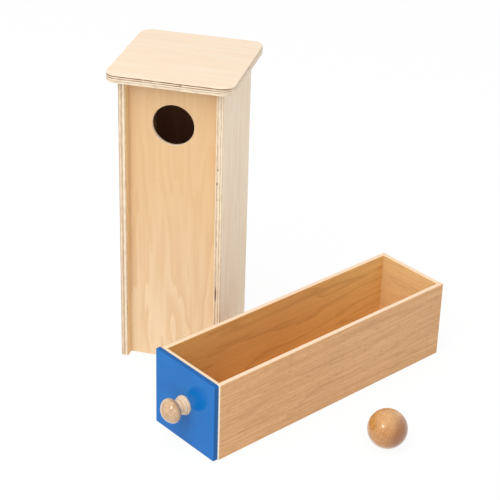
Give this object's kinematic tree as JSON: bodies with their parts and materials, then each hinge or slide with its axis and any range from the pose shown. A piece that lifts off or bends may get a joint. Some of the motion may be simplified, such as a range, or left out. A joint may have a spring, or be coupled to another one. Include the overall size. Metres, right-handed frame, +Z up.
{
  "type": "object permanence box",
  "caption": "Upright plywood box with a round ball hole under an overhanging roof board, a long open drawer with a blue face and turned knob, and a wooden ball.",
  "frame": {"origin": "on the floor, below the middle of the group of housing, drawer and ball", "axes": "+Z up, -Y the way the housing's hole faces, +X to the drawer's side of the housing"},
  "size_m": [0.3768, 0.3461, 0.3656],
  "materials": {
    "birch_plywood": "satin lacquer",
    "beech": "satin lacquer",
    "blue_paint": "satin blue paint on wood",
    "turned_wood": "gloss lacquer",
    "ball_wood": "gloss lacquer",
    "steel": "plain steel"
  },
  "bodies": {
    "housing": {"left_side_panel": "birch_plywood", "right_side_panel": "birch_plywood", "front_panel": "birch_plywood", "back_panel": "birch_plywood", "roof_board": "birch_plywood", "roof_dowels": "beech"},
    "drawer": {"drawer_near_side": "beech", "drawer_far_side": "beech", "drawer_front_wall": "beech", "drawer_rear_wall": "beech", "drawer_bottom": "beech", "drawer_face": "blue_paint", "drawer_knob": "turned_wood", "knob_screw": "steel"},
    "ball": {"ball": "ball_wood"}
  },
  "joints": [
    {"name": "drawer_slide", "type": "slide", "parent": "housing", "child": "drawer", "axis": [0.5678, 0.8231, 0], "range_m": [0, 0.353]},
    {"name": "ball_roll", "type": "slide", "parent": "housing", "child": "ball", "axis": [0.8231, -0.5678, 0], "range_m": [-0.06, 0.2]}
  ]
}
